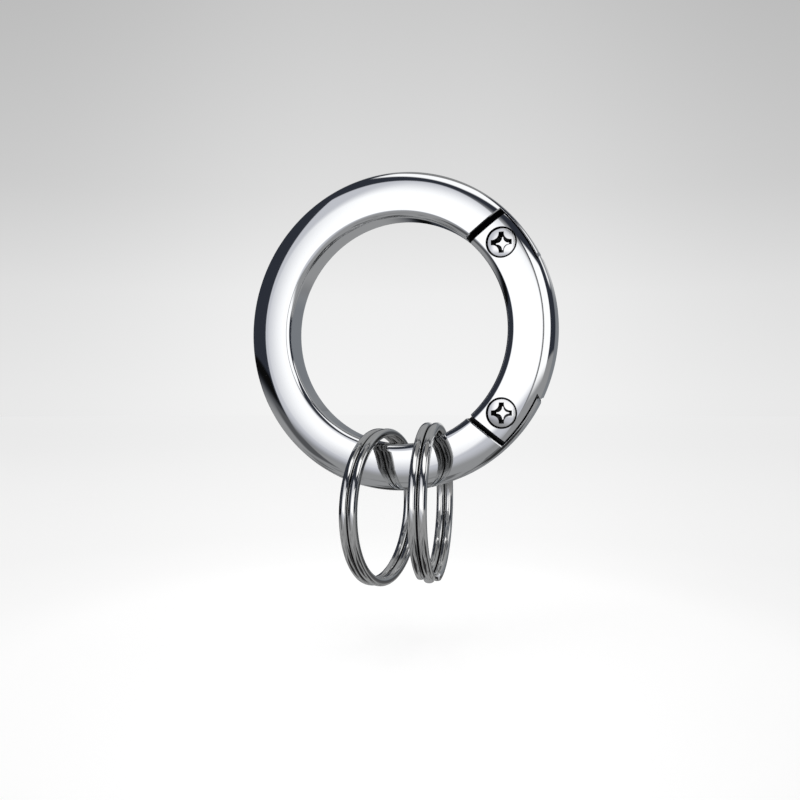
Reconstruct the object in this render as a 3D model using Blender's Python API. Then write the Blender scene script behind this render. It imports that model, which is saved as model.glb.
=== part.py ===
# Gate ring key holder: a cast ring closed by a screwed-on gate, with two wound wire split rings hung on it.
# Metres, +Z up. The ring stands in the XZ plane, centred on the origin, front towards -Y, gate towards +X.

import math

import bmesh
import bpy
from mathutils import Matrix, Vector

# Ring bar: its section is crowned, with a rounded inner edge and a wide soft shoulder outside.
RING_INNER_DIAMETER = 0.036
BAR_WIDTH = 0.0073
RING_THICKNESS = 0.0052
INNER_WALL_THICKNESS = 0.0029
INNER_EDGE_WIDTH = 0.00035
INNER_EDGE_DEPTH = 0.00058
BEVEL_WIDTH = 0.00065
BEVEL_DEPTH = 0.00027
CROWN_WIDTH = 0.0018
SHOULDER_WIDTH = 0.0028
SHOULDER_DEPTH = 0.0011
SHOULDER_STEPS = 4
RING_SEGMENTS = 72

# Gate joints: the gate's ends lap over the front of two tongues of the ring, inside a thin lip at the rim.
SCREW_ANGLE = math.radians(37.0)
END_FACE_ANGLE = math.radians(38.0)
SCREW_INSET = 0.00015
END_FACE_FROM_SCREW = 0.0033
UPPER_END_GAP = 0.00095
LOWER_END_GAP = 0.00070
LAP_PLANE = 0.00025
LAP_CLEARANCE = 0.00035
TONGUE_TIP_MARGIN = 0.00205
TONGUE_TIP_CLEARANCE = 0.0004
LIP_WIDTH = 0.00045
LIP_CLEARANCE = 0.0002
LIP_SEGMENTS = 100
TIP_ARC_HALF_ANGLE = math.radians(70.0)
TIP_ARC_STEPS = 14

# Screws: M2.5, flat cross-recess heads, flush in counterbores.
SCREW_HEAD_DIAMETER = 0.0044
SCREW_HEAD_HEIGHT = 0.0015
SCREW_SHANK_DIAMETER = 0.0025
SCREW_END_CHAMFER = 0.0003
SCREW_END_INSET = 0.0003
HEAD_INSET = 0.00005
HEAD_SIDE_CLEARANCE = 0.0002
HEAD_SEAT_CLEARANCE = 0.0003
SHANK_CLEARANCE = 0.0002
RECESS_LENGTH = 0.0033
RECESS_WING_WIDTH = 0.00075
RECESS_DEPTH = 0.0012
RECESS_TAPER = 0.45
ROUND_SEGMENTS = 28

# Split rings: two turns of round wire, flat apart from the jog between the turns.
SPLIT_OUTER_DIAMETER = 0.0252
SPLIT_WIRE_DIAMETER = 0.00135
SPLIT_TURN_GAP = 0.00043
SPLIT_JOG_ANGLE = math.radians(30.0)
SPLIT_POINTS_PER_TURN = 24
SPLIT_HANG_GAP = 0.00065
LEFT_SPLIT_X = -0.00275
LEFT_SPLIT_TURN = math.radians(-6.0)
LEFT_SPLIT_START = math.radians(167.0)
RIGHT_SPLIT_X = 0.0056
RIGHT_SPLIT_TURN = math.radians(5.3)
RIGHT_SPLIT_START = math.radians(298.0)

# Surface colours and finishes, and the angle past which an edge is drawn sharp.
CHROME_COLOUR = (0.82, 0.83, 0.85)
CHROME_ROUGHNESS = 0.06
GATE_ROUGHNESS = 0.07
SCREW_COLOUR = (0.78, 0.79, 0.82)
SCREW_ROUGHNESS = 0.12
WIRE_COLOUR = (0.50, 0.50, 0.51)
WIRE_ROUGHNESS = 0.14
SHARP_EDGE_ANGLE = math.radians(28.0)

# Sizes that follow from those above.
INNER_RADIUS = RING_INNER_DIAMETER / 2
OUTER_RADIUS = INNER_RADIUS + BAR_WIDTH
BAR_RADIUS = INNER_RADIUS + BAR_WIDTH / 2
SCREW_RADIUS = BAR_RADIUS - SCREW_INSET
HALF_THICKNESS = RING_THICKNESS / 2
TONGUE_TIP_RADIUS = BAR_WIDTH / 2 + TONGUE_TIP_MARGIN
LIP_RADIUS = OUTER_RADIUS - LIP_WIDTH
CUT_REACH = 2 * OUTER_RADIUS
CUT_DEPTH = 2 * RING_THICKNESS


def clear_scene():
    for obj in list(bpy.data.objects):
        bpy.data.objects.remove(obj, do_unlink=True)


def make_material(name, colour, roughness):
    material = bpy.data.materials.new(name)
    material.use_nodes = True
    shader = material.node_tree.nodes["Principled BSDF"]
    shader.inputs["Base Color"].default_value = (*colour, 1.0)
    shader.inputs["Metallic"].default_value = 1.0
    shader.inputs["Roughness"].default_value = roughness
    return material


def add_object(name, data, material=None, location=(0, 0, 0), rotation=(0, 0, 0)):
    obj = bpy.data.objects.new(name, data)
    obj.location = location
    obj.rotation_euler = rotation
    if material:
        data.materials.append(material)
    bpy.context.scene.collection.objects.link(obj)
    return obj


def mesh_from(name, points, faces):
    mesh = bpy.data.meshes.new(name)
    mesh.from_pydata([tuple(p) for p in points], [], faces)
    mesh.update()
    return mesh


def smooth(obj):
    obj.data.shade_smooth()
    obj.data.set_sharp_from_angle(angle=SHARP_EDGE_ANGLE)


def add_cutter(name, mesh, location=(0, 0, 0), rotation=(0, 0, 0)):
    cutter = add_object(name, mesh, location=location, rotation=rotation)
    cutter.hide_render = True
    cutter.display_type = "WIRE"
    return cutter


def cut(obj, cutter, operation="DIFFERENCE"):
    modifier = obj.modifiers.new(cutter.name, "BOOLEAN")
    modifier.operation = operation
    modifier.object = cutter
    modifier.solver = "EXACT"


def plan_prism(name, outline, front, back):
    """A prism of a plan outline of (x, z) points, from y = front to y = back."""
    count = len(outline)
    turns = [a[0] * b[1] - a[1] * b[0] for a, b in zip(outline, outline[1:] + outline[:1])]
    if sum(turns) < 0:
        outline = outline[::-1]
    points = [(x, y, z) for y in (front, back) for x, z in outline]
    faces = [list(range(count)), list(range(2 * count - 1, count - 1, -1))]
    for i in range(count):
        j = (i + 1) % count
        faces.append([j, i, count + i, count + j])
    return mesh_from(name, points, faces)


def turned_solid(name, profile, segments):
    """Turns a profile of (radius, height) points about local Z, with a flat face at both ends."""
    bm = bmesh.new()
    rings = []
    for radius, height in profile:
        ring = []
        for i in range(segments):
            angle = 2 * math.pi * i / segments
            ring.append(bm.verts.new((radius * math.cos(angle), radius * math.sin(angle), height)))
        rings.append(ring)
    bm.faces.new(rings[0][::-1])
    bm.faces.new(rings[-1])
    for i in range(segments):
        j = (i + 1) % segments
        for low, high in zip(rings, rings[1:]):
            bm.faces.new((low[i], low[j], high[j], high[i]))
    mesh = bpy.data.meshes.new(name)
    bm.to_mesh(mesh)
    bm.free()
    return mesh


def bar_section():
    """Half of the ring's section as (radius, depth), from the inner wall round to the outer wall."""
    wall = INNER_WALL_THICKNESS / 2
    section = [
        (INNER_RADIUS, wall),
        (INNER_RADIUS + INNER_EDGE_WIDTH, wall + INNER_EDGE_DEPTH),
        (INNER_RADIUS + INNER_EDGE_WIDTH + BEVEL_WIDTH, wall + INNER_EDGE_DEPTH + BEVEL_DEPTH),
        (INNER_RADIUS + INNER_EDGE_WIDTH + BEVEL_WIDTH + CROWN_WIDTH, HALF_THICKNESS),
    ]
    for i in range(SHOULDER_STEPS + 1):
        angle = math.pi / 2 * i / SHOULDER_STEPS
        radius = OUTER_RADIUS - SHOULDER_WIDTH * (1 - math.sin(angle))
        depth = HALF_THICKNESS - SHOULDER_DEPTH * (1 - math.cos(angle))
        section.append((radius, depth))
    return section


def ring_blank(name):
    """The whole ring, before it is parted into the ring's body and the gate."""
    half = bar_section()
    section = [(r, -d) for r, d in half] + [(r, d) for r, d in reversed(half)]
    count = len(section)
    points = []
    for i in range(RING_SEGMENTS):
        angle = 2 * math.pi * i / RING_SEGMENTS
        points += [(r * math.cos(angle), d, r * math.sin(angle)) for r, d in section]
    faces = []
    for i in range(RING_SEGMENTS):
        here, there = i * count, (i + 1) % RING_SEGMENTS * count
        for k in range(count):
            n = (k + 1) % count
            faces.append([here + k, here + n, there + n, there + k])
    return mesh_from(name, points, faces)


def screw_centre(side):
    """Plan place (x, z) of a gate screw: side is 1 for the upper one and -1 for the lower one."""
    return Vector((SCREW_RADIUS * math.cos(SCREW_ANGLE), side * SCREW_RADIUS * math.sin(SCREW_ANGLE)))


def end_wedge(name, upper_gap, lower_gap):
    """Plan wedge between the two slanting end faces, moved away from the gate by a gap at each end."""
    corners = []
    for side, gap in ((1, upper_gap), (-1, lower_gap)):
        along = Vector((math.cos(END_FACE_ANGLE), side * math.sin(END_FACE_ANGLE)))
        away = Vector((-math.sin(END_FACE_ANGLE), side * math.cos(END_FACE_ANGLE)))
        foot = screw_centre(side) + away * (END_FACE_FROM_SCREW + gap)
        corners.append((foot, along))
    (upper, up_along), (lower, low_along) = corners
    offset = lower - upper
    reach = (offset.x * low_along.y - offset.y * low_along.x) / (
        up_along.x * low_along.y - up_along.y * low_along.x
    )
    apex = upper + up_along * reach
    outline = [apex, apex + low_along * 2 * CUT_REACH, apex + up_along * 2 * CUT_REACH]
    return plan_prism(name, outline, -CUT_DEPTH, CUT_DEPTH)


def tip_arc(side, radius):
    """Plan arc round a screw, on the gate's side of it, from the ring's hole out past its rim."""
    centre = screw_centre(side)
    outwards = centre.normalized()
    to_gate = Vector((outwards.y, -outwards.x)) * side
    arc = []
    for i in range(TIP_ARC_STEPS + 1):
        angle = TIP_ARC_HALF_ANGLE * (2 * i / TIP_ARC_STEPS - 1)
        arc.append(centre + radius * (math.cos(angle) * to_gate + math.sin(angle) * outwards))
    return arc


def between_tips(name, radius):
    """Plan region between the two tongue tips, out past the rim."""
    upper = tip_arc(1, radius)
    lower = tip_arc(-1, radius)
    outline = lower + [Vector((CUT_REACH, lower[-1].y)), Vector((CUT_REACH, upper[-1].y))] + upper[::-1]
    return plan_prism(name, outline, -CUT_DEPTH, CUT_DEPTH)


def tongue_pocket(name, side, radius):
    """The room round one end of the gate that a tongue fills: everything past the tip's arc."""
    arc = tip_arc(side, radius)
    outwards = screw_centre(side).normalized()
    from_gate = Vector((-outwards.y, outwards.x)) * side
    outline = arc + [arc[-1] + from_gate * CUT_REACH, arc[0] + from_gate * CUT_REACH]
    return plan_prism(name, outline, -CUT_DEPTH, CUT_DEPTH)


def front_lap_room(name):
    """The room in front of both tongues, between the ring's two shoulders."""
    prism = end_wedge(name, UPPER_END_GAP, LOWER_END_GAP)
    for vertex in prism.vertices:
        vertex.co.y = min(vertex.co.y, LAP_PLANE + LAP_CLEARANCE)
    return prism


def front_disc(name, radius, back):
    """A disc about the ring's axis, from well in front of the ring to y = back."""
    profile = [(radius, -back), (radius, 2 * CUT_DEPTH)]
    return add_cutter(name, turned_solid(name, profile, LIP_SEGMENTS), rotation=(math.pi / 2, 0, 0))


def drill(obj, name, side, radius, front, back):
    """Drills a round hole along Y at a screw, from y = front to y = back."""
    x, z = screw_centre(side)
    hole = turned_solid(name, [(radius, -back), (radius, -front)], ROUND_SEGMENTS)
    cut(obj, add_cutter(name, hole, (x, 0, z), (math.pi / 2, 0, 0)))


def make_ring_body(chrome):
    body = add_object("ring_body", ring_blank("ring_body"), chrome)
    room = add_cutter("cut_front_lap_room", front_lap_room("cut_front_lap_room"))
    cut(room, front_disc("keep_lip", LIP_RADIUS, 2 * CUT_DEPTH), "INTERSECT")
    cut(body, room)
    cut(body, add_cutter("cut_between_tips", between_tips("cut_between_tips", TONGUE_TIP_RADIUS)))
    for side, label in ((1, "upper"), (-1, "lower")):
        radius = SCREW_SHANK_DIAMETER / 2 + SHANK_CLEARANCE
        drill(body, f"cut_{label}_tapped_hole", side, radius, 0, CUT_DEPTH)
    smooth(body)
    return body


def make_gate(chrome):
    gate = add_object("gate", ring_blank("gate"), chrome)
    wedge = add_cutter("keep_gate_wedge", end_wedge("keep_gate_wedge", 0, 0))
    cut(gate, wedge, "INTERSECT")
    pocket_radius = TONGUE_TIP_RADIUS + TONGUE_TIP_CLEARANCE
    head_radius = SCREW_HEAD_DIAMETER / 2 + HEAD_SIDE_CLEARANCE
    seat = -HALF_THICKNESS + HEAD_INSET + SCREW_HEAD_HEIGHT + HEAD_SEAT_CLEARANCE
    gate_lap = front_disc("keep_gate_lap", LIP_RADIUS - LIP_CLEARANCE, LAP_PLANE)
    for side, label in ((1, "upper"), (-1, "lower")):
        pocket = tongue_pocket(f"cut_{label}_pocket", side, pocket_radius)
        tongue_room = add_cutter(f"cut_{label}_pocket", pocket)
        cut(tongue_room, gate_lap)
        cut(gate, tongue_room)
        drill(gate, f"cut_{label}_counterbore", side, head_radius, -CUT_DEPTH, seat)
        shank_radius = SCREW_SHANK_DIAMETER / 2 + SHANK_CLEARANCE
        drill(gate, f"cut_{label}_shank_hole", side, shank_radius, -CUT_DEPTH, CUT_DEPTH)
    smooth(gate)
    return gate


def recess_cutter(name):
    """A tapered cross, wider at the top, for the driver."""
    arm, wing = RECESS_LENGTH / 2, RECESS_WING_WIDTH / 2
    cross = [(arm, wing), (wing, wing), (wing, arm), (-wing, arm), (-wing, wing), (-arm, wing)]
    cross += [(-x, -y) for x, y in cross]
    count = len(cross)
    points = [(x * RECESS_TAPER, y * RECESS_TAPER, -RECESS_DEPTH) for x, y in cross]
    points += [(x, y, 0) for x, y in cross]
    points += [(x, y, SCREW_HEAD_HEIGHT) for x, y in cross]
    faces = [list(range(count - 1, -1, -1)), list(range(2 * count, 3 * count))]
    for i in range(count):
        j = (i + 1) % count
        for low in (0, count):
            high = low + count
            faces.append([low + i, low + j, high + j, high + i])
    return mesh_from(name, points, faces)


def make_screw(name, side, steel):
    """A screw whose origin is on its axis at the top of the head, turned to face the front."""
    x, z = screw_centre(side)
    head, shank = SCREW_HEAD_DIAMETER / 2, SCREW_SHANK_DIAMETER / 2
    length = RING_THICKNESS - HEAD_INSET - SCREW_END_INSET
    profile = [
        (shank - SCREW_END_CHAMFER, -length),
        (shank, -length + SCREW_END_CHAMFER),
        (shank, -SCREW_HEAD_HEIGHT),
        (head, -SCREW_HEAD_HEIGHT),
        (head, 0),
    ]
    place = (x, -HALF_THICKNESS + HEAD_INSET, z)
    facing = (math.pi / 2, 0, 0)
    screw = add_object(name, turned_solid(name, profile, ROUND_SEGMENTS), steel, place, facing)
    recess = recess_cutter(f"cut_{name}_recess")
    cut(screw, add_cutter(f"cut_{name}_recess", recess, place, facing))
    smooth(screw)
    return screw


def least_gap(points, wire):
    """The least gap between parts of the wire that lie over a quarter of a turn apart along it."""
    apart = SPLIT_POINTS_PER_TURN // 4
    least = math.inf
    for i, here in enumerate(points):
        for there in points[i + apart:]:
            least = min(least, (here - there).length)
    return least - wire


def make_split_ring(name, x, turn, start, steel):
    """A split ring hung on the bar at x, turned about Z, its origin on the bar's centre line above it."""
    wire_radius = SPLIT_WIRE_DIAMETER / 2
    pitch = SPLIT_WIRE_DIAMETER + SPLIT_TURN_GAP
    mean_radius = SPLIT_OUTER_DIAMETER / 2 - wire_radius
    stack_edge = abs(x) + pitch / 2 + wire_radius
    wall_top = -math.sqrt(INNER_RADIUS ** 2 - stack_edge ** 2)
    centre = Vector((x, 0, wall_top + SPLIT_HANG_GAP - (mean_radius - wire_radius)))
    pivot = Vector((x, 0, -math.sqrt(BAR_RADIUS ** 2 - x ** 2)))
    length = 4 * math.pi - SPLIT_JOG_ANGLE
    steps = round(SPLIT_POINTS_PER_TURN * length / (2 * math.pi))
    points = []
    for i in range(steps + 1):
        swept = length * i / steps
        share = (swept - (2 * math.pi - SPLIT_JOG_ANGLE)) / SPLIT_JOG_ANGLE
        share = min(max(share, 0.0), 1.0)
        across = pitch * (share * share * (3 - 2 * share) - 0.5)
        angle = start + swept
        flat = Vector((across, -mean_radius * math.cos(angle), mean_radius * math.sin(angle)))
        points.append(Matrix.Rotation(turn, 3, "Z") @ flat + centre - pivot)
    print(f"{name}: least gap between turns {least_gap(points, SPLIT_WIRE_DIAMETER) * 1000:.3f} mm")
    curve = bpy.data.curves.new(name, "CURVE")
    curve.dimensions = "3D"
    curve.bevel_depth = wire_radius
    curve.bevel_resolution = 1
    curve.use_fill_caps = True
    spline = curve.splines.new("POLY")
    spline.points.add(len(points) - 1)
    for target, point in zip(spline.points, points):
        target.co = (*point, 1.0)
    return add_object(name, curve, steel, pivot)


def main():
    clear_scene()
    chrome = make_material("polished_chrome", CHROME_COLOUR, CHROME_ROUGHNESS)
    gate_chrome = make_material("polished_chrome_gate", CHROME_COLOUR, GATE_ROUGHNESS)
    screw_steel = make_material("plated_screw_steel", SCREW_COLOUR, SCREW_ROUGHNESS)
    wire_steel = make_material("nickel_wire", WIRE_COLOUR, WIRE_ROUGHNESS)
    make_ring_body(chrome)
    make_gate(gate_chrome)
    make_screw("upper_screw", 1, screw_steel)
    make_screw("lower_screw", -1, screw_steel)
    make_split_ring("split_ring_left", LEFT_SPLIT_X, LEFT_SPLIT_TURN, LEFT_SPLIT_START, wire_steel)
    make_split_ring("split_ring_right", RIGHT_SPLIT_X, RIGHT_SPLIT_TURN, RIGHT_SPLIT_START, wire_steel)


main()
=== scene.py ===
# Chrome gate ring with two hung split rings, dressed over its CAD frame.
# Sizes are in mm and angles in degrees unless a note says otherwise; meshes are scaled to metres once.
import math

import bmesh
import bpy
import numpy as np
from mathutils import Matrix, Vector


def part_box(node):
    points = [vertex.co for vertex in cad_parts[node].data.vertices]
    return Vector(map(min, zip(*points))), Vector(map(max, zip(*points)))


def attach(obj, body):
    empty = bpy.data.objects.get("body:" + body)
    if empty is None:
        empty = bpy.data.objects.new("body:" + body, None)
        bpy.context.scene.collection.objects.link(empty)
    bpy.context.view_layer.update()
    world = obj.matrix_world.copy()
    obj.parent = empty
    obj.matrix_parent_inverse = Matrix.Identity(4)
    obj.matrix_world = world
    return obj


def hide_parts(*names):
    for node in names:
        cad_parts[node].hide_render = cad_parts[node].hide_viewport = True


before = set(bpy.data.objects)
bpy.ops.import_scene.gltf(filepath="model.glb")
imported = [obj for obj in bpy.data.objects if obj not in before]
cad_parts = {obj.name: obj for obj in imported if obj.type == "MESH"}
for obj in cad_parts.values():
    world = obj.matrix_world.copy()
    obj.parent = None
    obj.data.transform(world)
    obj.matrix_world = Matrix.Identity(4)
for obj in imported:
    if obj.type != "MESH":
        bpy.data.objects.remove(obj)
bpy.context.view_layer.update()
mm = 0.001
fullTurn = 2 * math.pi
quarterTurn = math.pi / 2
print("frame loaded, nodes:", ", ".join(sorted(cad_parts)))


# Small helpers for node trees

def addNode(tree, kind, **settings):
    node = tree.nodes.new(kind)
    for key, value in settings.items():
        setattr(node, key, value)
    return node


def fill(node, **values):
    for key, value in values.items():
        node.inputs[key.replace("_", " ")].default_value = value
    return node


def calc(tree, operation, *values):
    node = addNode(tree, "ShaderNodeMath", operation=operation)
    for socket, value in zip(node.inputs, values):
        if isinstance(value, (int, float)):
            socket.default_value = value
        else:
            tree.links.new(value, socket)
    return node.outputs[0]


def remap(tree, value, fromLow, fromHigh, toLow, toHigh, shape="LINEAR"):
    node = addNode(tree, "ShaderNodeMapRange", interpolation_type=shape)
    tree.links.new(value, node.inputs["Value"])
    fill(node, From_Min=fromLow, From_Max=fromHigh, To_Min=toLow, To_Max=toHigh)
    return node.outputs["Result"]


def addNoise(tree, vector, **values):
    node = fill(addNode(tree, "ShaderNodeTexNoise"), **values)
    tree.links.new(vector, node.inputs["Vector"])
    return node.outputs["Fac"]


def addMapping(tree, vector, **values):
    node = fill(addNode(tree, "ShaderNodeMapping"), **values)
    tree.links.new(vector, node.inputs["Vector"])
    return node.outputs["Vector"]


def axes(tree, vector):
    node = addNode(tree, "ShaderNodeSeparateXYZ")
    tree.links.new(vector, node.inputs[0])
    return [node.outputs[axis] for axis in ("X", "Y", "Z")]


def colourMix(tree, first, second, factor, label=""):
    # first and second are colours, or outputs of other nodes.
    node = addNode(tree, "ShaderNodeMix", data_type="RGBA", label=label)
    for key, value in (("A", first), ("B", second)):
        if isinstance(value, tuple):
            node.inputs[key].default_value = (*value, 1.0)
        else:
            tree.links.new(value, node.inputs[key])
    tree.links.new(factor, node.inputs["Factor"])
    return node.outputs["Result"]


# Metal finishes

patternSpread = (0.3, 0.7)       # the part of a noise pattern's range that is put to use


def newMetal(name):
    material = bpy.data.materials.new(name)
    material.use_nodes = True
    tree = material.node_tree
    shader = tree.nodes["Principled BSDF"]
    shader.inputs["Metallic"].default_value = 1.0
    return material, tree, shader


def roughen(tree, shader, pattern, spread, look):
    tree.links.new(remap(tree, pattern, *spread, *look["roughness"]), shader.inputs["Roughness"])


def emboss(tree, shader, pattern, strength, depth):
    bump = fill(addNode(tree, "ShaderNodeBump"), Strength=strength, Distance=depth * mm)
    tree.links.new(pattern, bump.inputs["Height"])
    tree.links.new(bump.outputs["Normal"], shader.inputs["Normal"])


chromeLook = dict(
    colour=(0.875, 0.885, 0.90),
    roughness=(0.022, 0.05),     # clean plate to lightly handled plate
    hazeScale=160.0,             # soft cloudy patches, per metre
    hazeSpread=(0.35, 0.72),
    scratchScale=(2600.0, 420.0, 2600.0),
    scratchTurn=(0.3, 0.5, 0.2),  # in radians
    scratchBump=0.012,
    scratchDepth=0.02,
)


def chromeFinish(name, look, tint=1.0):
    material, tree, shader = newMetal(name)
    shader.inputs["Base Color"].default_value = (*[c * tint for c in look["colour"]], 1.0)
    place = addNode(tree, "ShaderNodeTexCoord").outputs["Object"]
    haze = addNoise(tree, place, Scale=look["hazeScale"], Detail=4.0, Roughness=0.6)
    roughen(tree, shader, haze, look["hazeSpread"], look)
    stretched = addMapping(tree, place, Scale=look["scratchScale"], Rotation=look["scratchTurn"])
    scratches = addNoise(tree, stretched, Scale=1.0, Detail=2.0)
    emboss(tree, shader, scratches, look["scratchBump"], look["scratchDepth"])
    return material


screwLook = dict(
    colour=(0.86, 0.865, 0.88),
    roughness=(0.05, 0.12),
    wearScale=900.0,
    turningRings=9000.0,         # fine lathe lines on the head, per metre of radius
    turningBump=0.03,
    turningDepth=0.01,
)


def screwFinish(name, look, centre):
    material, tree, shader = newMetal(name)
    shader.inputs["Base Color"].default_value = (*look["colour"], 1.0)
    place = addNode(tree, "ShaderNodeTexCoord").outputs["Object"]
    centred = addMapping(tree, place, Location=(-centre[0] * mm, 0.0, -centre[1] * mm))
    east, north = axes(tree, centred)[::2]
    squares = [calc(tree, "MULTIPLY", side, side) for side in (east, north)]
    reach = calc(tree, "SQRT", calc(tree, "ADD", *squares))
    lines = calc(tree, "SINE", calc(tree, "MULTIPLY", reach, look["turningRings"] * fullTurn))
    emboss(tree, shader, lines, look["turningBump"], look["turningDepth"])
    wear = addNoise(tree, place, Scale=look["wearScale"], Detail=3.0)
    roughen(tree, shader, wear, patternSpread, look)
    return material


wireLook = dict(
    colour=(0.97, 0.97, 0.965),
    darkColour=(0.80, 0.80, 0.795),
    roughness=(0.045, 0.09),
    drawLines=(200.0, 5000.0, 1.0),  # long along the wire, fine round it
    drawSpread=(0.3, 0.65),
    drawBump=0.03,
    drawDepth=0.02,
    tumbleScale=1400.0,
    # Painted shade: the wire is darkened between its two turns, on their outer sides and inside the loop
    # under the bar.
    grooveShadeColour=(0.035, 0.035, 0.036),
    grooveSide=(0.72, 0.88),     # painted shade between the turns, by the sine of the way round the wire
    grooveFade=0.8,              # length over which it fades at the jog
    outerSide=(-0.90, -0.97),    # the same on the outer sides
    outerShade=0.75,              # how dark the painted shade on them gets
    seatSide=(-0.1, -0.6),       # and inside the loop, by the cosine
    seatHeights=(-27.0, -24.0),  # up where the wire runs under the bar, in painted shade
    seatShade=0.6,
)


def wireFinish(name, look, wire):
    material, tree, shader = newMetal(name)
    coords = addNode(tree, "ShaderNodeTexCoord")
    drawn = addMapping(tree, coords.outputs["UV"], Scale=look["drawLines"])
    lines = addNoise(tree, drawn, Scale=1.0, Detail=3.0, Roughness=0.65)
    tumble = addNoise(tree, coords.outputs["Object"], Scale=look["tumbleScale"], Detail=4.0)
    streaks = remap(tree, lines, *look["drawSpread"], 0.0, 1.0)
    plate = colourMix(tree, look["darkColour"], look["colour"], streaks)
    along, across = axes(tree, coords.outputs["UV"])[:2]
    around = calc(tree, "MULTIPLY", across, 1 / (wire["wireRadius"] * mm))
    # The side that faces the other turn changes over half way along the wire, in the jog.
    jogHalf = math.radians(wire["jogDegrees"]) / 2 * wire["meanRadius"] * mm
    halfWay = fullTurn * wire["meanRadius"] * mm - jogHalf
    fromJog = calc(tree, "SUBTRACT", halfWay, along)
    sideways = calc(tree, "MULTIPLY", calc(tree, "SINE", around), calc(tree, "SIGN", fromJog))
    facing = remap(tree, sideways, *look["grooveSide"], 0.0, 1.0)
    away = remap(tree, sideways, *look["outerSide"], 0.0, look["outerShade"])
    jogEnd = jogHalf + look["grooveFade"] * mm
    paired = remap(tree, calc(tree, "ABSOLUTE", fromJog), jogHalf, jogEnd, 0.0, 1.0)
    # Painted shade: darkest between the turns and on their outer sides, and inside the loop where it runs
    # under the bar.
    shadedGroove = calc(tree, "MULTIPLY", calc(tree, "ADD", facing, away), paired)
    inside = remap(tree, calc(tree, "COSINE", around), *look["seatSide"], 0.0, 1.0)
    height = axes(tree, coords.outputs["Object"])[2]
    lowSeat, highSeat = [value * mm for value in look["seatHeights"]]
    onBar = remap(tree, height, lowSeat, highSeat, 0.0, look["seatShade"])
    dark = calc(tree, "MAXIMUM", shadedGroove, calc(tree, "MULTIPLY", inside, onBar))
    tree.links.new(colourMix(tree, plate, look["grooveShadeColour"], dark), shader.inputs["Base Color"])
    roughen(tree, shader, tumble, patternSpread, look)
    emboss(tree, shader, lines, look["drawBump"], look["drawDepth"])
    return material


# Painted shade: a near-black metal for the inside of the laps, the screw holes and the driver recesses,
# where shade falls.
lapShadeLook = dict(
    colour=(0.022, 0.022, 0.024),
    edgeColour=(0.05, 0.05, 0.053),
    roughness=(0.35, 0.6),
    grainScale=5200.0,
    grainSpread=(0.35, 0.7),
    grainBump=0.2,
    grainDepth=0.02,
)


def lapShadeFinish(name, look):
    # Painted shade: near-black metal inside the laps, the screw holes and the driver recesses, where shade
    # falls
    material, tree, shader = newMetal(name)
    place = addNode(tree, "ShaderNodeTexCoord").outputs["Object"]
    grain = addNoise(tree, place, Scale=look["grainScale"], Detail=4.0)
    spots = remap(tree, grain, *look["grainSpread"], 0.0, 1.0)
    tree.links.new(colourMix(tree, look["colour"], look["edgeColour"], spots), shader.inputs["Base Color"])
    roughen(tree, shader, grain, patternSpread, look)
    emboss(tree, shader, grain, look["grainBump"], look["grainDepth"])
    return material


# Mesh helpers

def addObject(name, data):
    made = bpy.data.objects.new(name, data)
    bpy.context.scene.collection.objects.link(made)
    return made


def dress(name, mesh, body, node):
    piece = addObject(name, mesh)
    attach(piece, body)
    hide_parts(node)
    print(f"{name}: {len(mesh.polygons)} faces, rides on {body}")


def meshFrom(bm, name, finishes):
    mesh = bpy.data.meshes.new(name)
    bm.to_mesh(mesh)
    bm.free()
    for finish in finishes:
        mesh.materials.append(finish)
    return mesh


def meshOf(name, points, faces, finishes, shadeFaces=()):
    # Faces take the first finish; the listed ones, by index, take the second, the painted shade.
    mesh = bpy.data.meshes.new(name)
    mesh.from_pydata([tuple(p) for p in points], [], faces)
    for finish in finishes:
        mesh.materials.append(finish)
    for index in shadeFaces:
        mesh.polygons[index].material_index = 1
    bm = bmesh.new()
    bm.from_mesh(mesh)
    bmesh.ops.recalc_face_normals(bm, faces=bm.faces)
    bm.to_mesh(mesh)
    bm.free()
    return mesh


def tubeFaces(rows, sides):
    # A face across each end, then quads from row to row
    faces = [list(range(sides)), list(range((rows - 1) * sides, rows * sides))]
    for row in range(rows - 1):
        a, b = row * sides, (row + 1) * sides
        for k in range(sides):
            n = (k + 1) % sides
            faces.append((a + k, a + n, b + n, b + k))
    return faces


def carve(mesh, cutters):
    # Booleans run at mm scale, where the exact solver is at its best.
    target = addObject("carving", mesh)
    helpers = [addObject("cutter", cutter) for cutter in cutters]
    for helper in helpers:
        step = target.modifiers.new("cut", "BOOLEAN")
        step.operation = "DIFFERENCE"
        step.solver = "EXACT"
        step.object = helper
    graph = bpy.context.evaluated_depsgraph_get()
    carved = bpy.data.meshes.new_from_object(target.evaluated_get(graph))
    for leftover in helpers + [target]:
        bpy.data.objects.remove(leftover)
    return carved


polishLimits = dict(
    reach=0.012,                 # how far off the true surface a corner may lie
    likeness=0.93,               # least cosine between its face and the true normal
)


def smoothFaces(mesh, sharpAngle):
    mesh.shade_smooth()
    mesh.set_sharp_from_angle(angle=math.radians(sharpAngle))


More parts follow.
